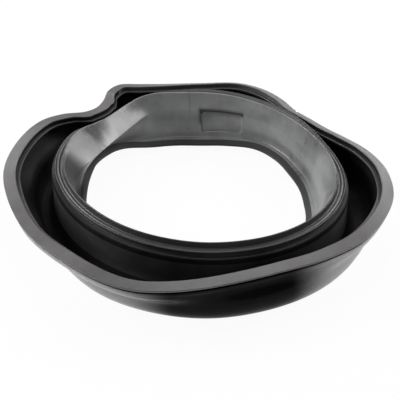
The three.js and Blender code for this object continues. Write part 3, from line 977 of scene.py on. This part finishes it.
def rubber(
    name,
    tone,
    roughness,
    specular,
    bloom=0.3,
    streaks=0.1,
    grain=0.1,
    cloudiness=0.3,
    dents=0.0,
    flank_sheen=0.0,
):
    """Moulded rubber: paler bloom on a dark tone, clouded gloss, fine grain, streaks and soft dents."""
    material = bpy.data.materials.new(name)
    material.use_nodes = True
    link = material.node_tree.links.new
    tree = Tree(material.node_tree)
    calc = tree.calc
    shader = material.node_tree.nodes["Principled BSDF"]

    def mark(attribute):
        return tree.add("ShaderNodeAttribute", output="Fac", attribute_name=attribute)

    def noise(vector, scale, detail, roughness=0.5):
        inputs = {"Vector": vector, "Scale": scale, "Detail": detail, "Roughness": roughness}
        return tree.add("ShaderNodeTexNoise", inputs)

    def blend(factor, under, over):
        inputs = {"Factor": factor, 6: under, 7: over}
        return tree.add("ShaderNodeMix", inputs, output=2, data_type="RGBA")

    def bump(height, strength, depth, normal=None):
        inputs = {"Height": height, "Strength": strength, "Distance": depth * MM}
        if normal is not None:
            inputs["Normal"] = normal
        return tree.add("ShaderNodeBump", inputs)

    coords = tree.add("ShaderNodeTexCoord", output="Object")
    along = tree.add("ShaderNodeUVMap", uv_map="along_seal")
    drawn_out = tree.add(
        "ShaderNodeVectorMath",
        {0: along, 1: (STREAKS_PER_METRE, STREAK_BREAKS_PER_METRE, 1.0)},
        operation="MULTIPLY",
    )
    streak = noise(drawn_out, 1.0, 3.0)
    clouds = noise(coords, CLOUDS_PER_METRE, 3.0, 0.55)
    patches = noise(coords, PATCHES_PER_METRE, 2.0)
    speckle = noise(coords, SPECKS_PER_METRE, 2.0)
    hollows = noise(coords, DENTS_PER_METRE, 1.0)
    settled = calc("MULTIPLY", calc("ADD", clouds, patches), 0.5)
    off_streak = calc("SUBTRACT", streak, 0.5)

    shade = tree.add(
        "ShaderNodeMapRange",
        {"Value": settled, "From Min": CLOUD_LOW, "From Max": CLOUD_HIGH},
    )
    shade = calc("ADD", shade, calc("MULTIPLY", off_streak, streaks * STREAK_CONTRAST))
    dark = tuple(c * (1 - bloom) for c in tone) + (1.0,)
    pale = tuple(c * (1 + bloom) for c in tone) + (1.0,)
    joint = tree.add(
        "ShaderNodeMapRange",
        {
            "Value": mark("seam_gap"),
            "From Min": SEAM_SHADE_CORE * MM,
            "From Max": SEAM_SHADE_REACH * MM,
            "To Min": SEAM_SHADE,
            "To Max": 0.0,
        },
    )
    # Painted shade over the pad and at the cone's left end, with the dark lines along the seams,
    # darkens the colour and dulls it
    shade_and_seam = calc("MAXIMUM", mark("painted_shade"), joint)
    colour = blend(calc("MULTIPLY", shade_and_seam, SHADE_AND_SEAM_COVER), blend(shade, dark, pale), SHADE_AND_SEAM_TONE)
    # The flanks get a pale tone painted on as sheen, and a raised specular level
    if flank_sheen:
        sheen_share = mark("flank_sheen")
        colour = blend(sheen_share, colour, PAINTED_SHEEN_TONE)
        shine = calc("ADD", calc("MULTIPLY", sheen_share, flank_sheen), specular)
        link(shine, shader.inputs["Specular IOR Level"])
    else:
        shader.inputs["Specular IOR Level"].default_value = specular
    link(colour, shader.inputs["Base Color"])

    uneven = calc("MULTIPLY", calc("SUBTRACT", settled, 0.5), cloudiness)
    rough = calc("ADD", calc("ADD", uneven, calc("MULTIPLY", off_streak, streaks)), roughness)
    rough = calc("ADD", rough, calc("MULTIPLY", shade_and_seam, SHADE_AND_SEAM_DULLNESS), clamp=True)
    link(rough, shader.inputs["Roughness"])
    fine = bump(speckle, grain, FINE_DEPTH)
    drawn = bump(streak, streaks, FINE_DEPTH, fine)
    link(bump(hollows, dents, DENT_DEPTH, drawn), shader.inputs["Normal"])
    return material


def seal(centre):
    """The whole moulding, with its details pressed in and its finishes laid on by zone."""
    mesh, names = seal_mesh(centre)
    materials = {kind: rubber(**finish) for kind, finish in FINISHES.items()}
    numbers = {kind: [names.index(zone) for zone in zones] for kind, zones in ZONES.items()}
    for material in materials.values():
        mesh.materials.append(material)
    raw = bpy.data.objects.new("seal_blank", mesh)
    bpy.context.scene.collection.objects.link(raw)
    group, sizes = details_tree(materials, numbers)
    modifier = raw.modifiers.new("details", "NODES")
    modifier.node_group = group
    for item in group.interface.items_tree:
        if item.in_out == "INPUT" and item.name in sizes:
            modifier[item.identifier] = sizes[item.name]
    raw.modifiers.new("even_normals", "WEIGHTED_NORMAL")
    depsgraph = bpy.context.evaluated_depsgraph_get()
    finished = bpy.data.meshes.new_from_object(
        raw.evaluated_get(depsgraph), preserve_all_data_layers=True, depsgraph=depsgraph
    )
    bpy.data.objects.remove(raw)
    piece = bpy.data.objects.new("seal_moulding", finished)
    bpy.context.scene.collection.objects.link(piece)
    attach(piece, "root")
    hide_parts("door_seal")


def floor():
    """Plain white floor that catches the seal's shadow."""
    bpy.ops.mesh.primitive_plane_add(size=FLOOR_SIZE)
    plane = bpy.context.object
    plane.name = "floor"
    material = bpy.data.materials.new("white_floor")
    material.use_nodes = True
    tree = Tree(material.node_tree)
    calc = tree.calc
    shader = material.node_tree.nodes["Principled BSDF"]
    shader.inputs["Base Color"].default_value = FLOOR_TONE
    shader.inputs["Roughness"].default_value = FLOOR_ROUGHNESS
    shader.inputs["Specular IOR Level"].default_value = 0.0
    seen = tree.add("ShaderNodeLightPath", output="Is Camera Ray")
    mirrored = tree.add("ShaderNodeLightPath", output="Is Glossy Ray")
    even = calc(
        "ADD",
        calc("MULTIPLY", seen, FLOOR_EVENNESS),
        calc("MULTIPLY", mirrored, MIRRORED_EVENNESS),
    )
    glow = tree.add("ShaderNodeEmission", {"Color": WHITE, "Strength": 1.0})
    mixed = tree.add("ShaderNodeMixShader", {0: even, 1: shader.outputs["BSDF"], 2: glow})
    end = material.node_tree.nodes["Material Output"]
    material.node_tree.links.new(mixed, end.inputs["Surface"])
    plane.data.materials.append(material)


def softbox(name, direction, elevation, distance, size, power):
    """A square area lamp aimed at the seal."""
    data = bpy.data.lights.new(name, "AREA")
    data.shape = "SQUARE"
    data.size = size
    data.energy = power
    lamp = bpy.data.objects.new(name, data)
    a, e = math.radians(direction), math.radians(elevation)
    away = Vector((math.cos(a) * math.cos(e), math.sin(a) * math.cos(e), math.sin(e)))
    lamp.location = away * distance
    lamp.rotation_euler = away.to_track_quat("Z", "Y").to_euler()
    bpy.context.scene.collection.objects.link(lamp)


def light():
    """A faint even world, and the lamps."""
    world = bpy.data.worlds.new("studio")
    world.use_nodes = True
    backdrop = world.node_tree.nodes["Background"]
    backdrop.inputs["Color"].default_value = WHITE
    backdrop.inputs["Strength"].default_value = WORLD_LEVEL
    bpy.context.scene.world = world
    for lamp in LAMPS:
        softbox(*lamp)


def camera(centre):
    """The photograph's view, from the front and above."""
    data = bpy.data.cameras.new("photo_view")
    data.sensor_width = SENSOR_WIDTH
    data.lens = SENSOR_WIDTH * PIXELS_PER_RADIAN / PHOTO_WIDTH
    view = bpy.data.objects.new("photo_view", data)
    aim = Vector((CAMERA_AIM[0] + centre[0], CAMERA_AIM[1] + centre[1], CAMERA_AIM[2])) * MM
    e = math.radians(CAMERA_ELEVATION)
    back = Vector((0, -math.cos(e), math.sin(e)))
    view.location = aim + back * CAMERA_DISTANCE * MM
    view.rotation_euler = back.to_track_quat("Z", "Y").to_euler()
    bpy.context.scene.collection.objects.link(view)
    bpy.context.scene.camera = view


centre = ring_centre()
camera(centre)
seal(centre)
floor()
light()
bpy.context.scene.view_settings.view_transform = "Standard"
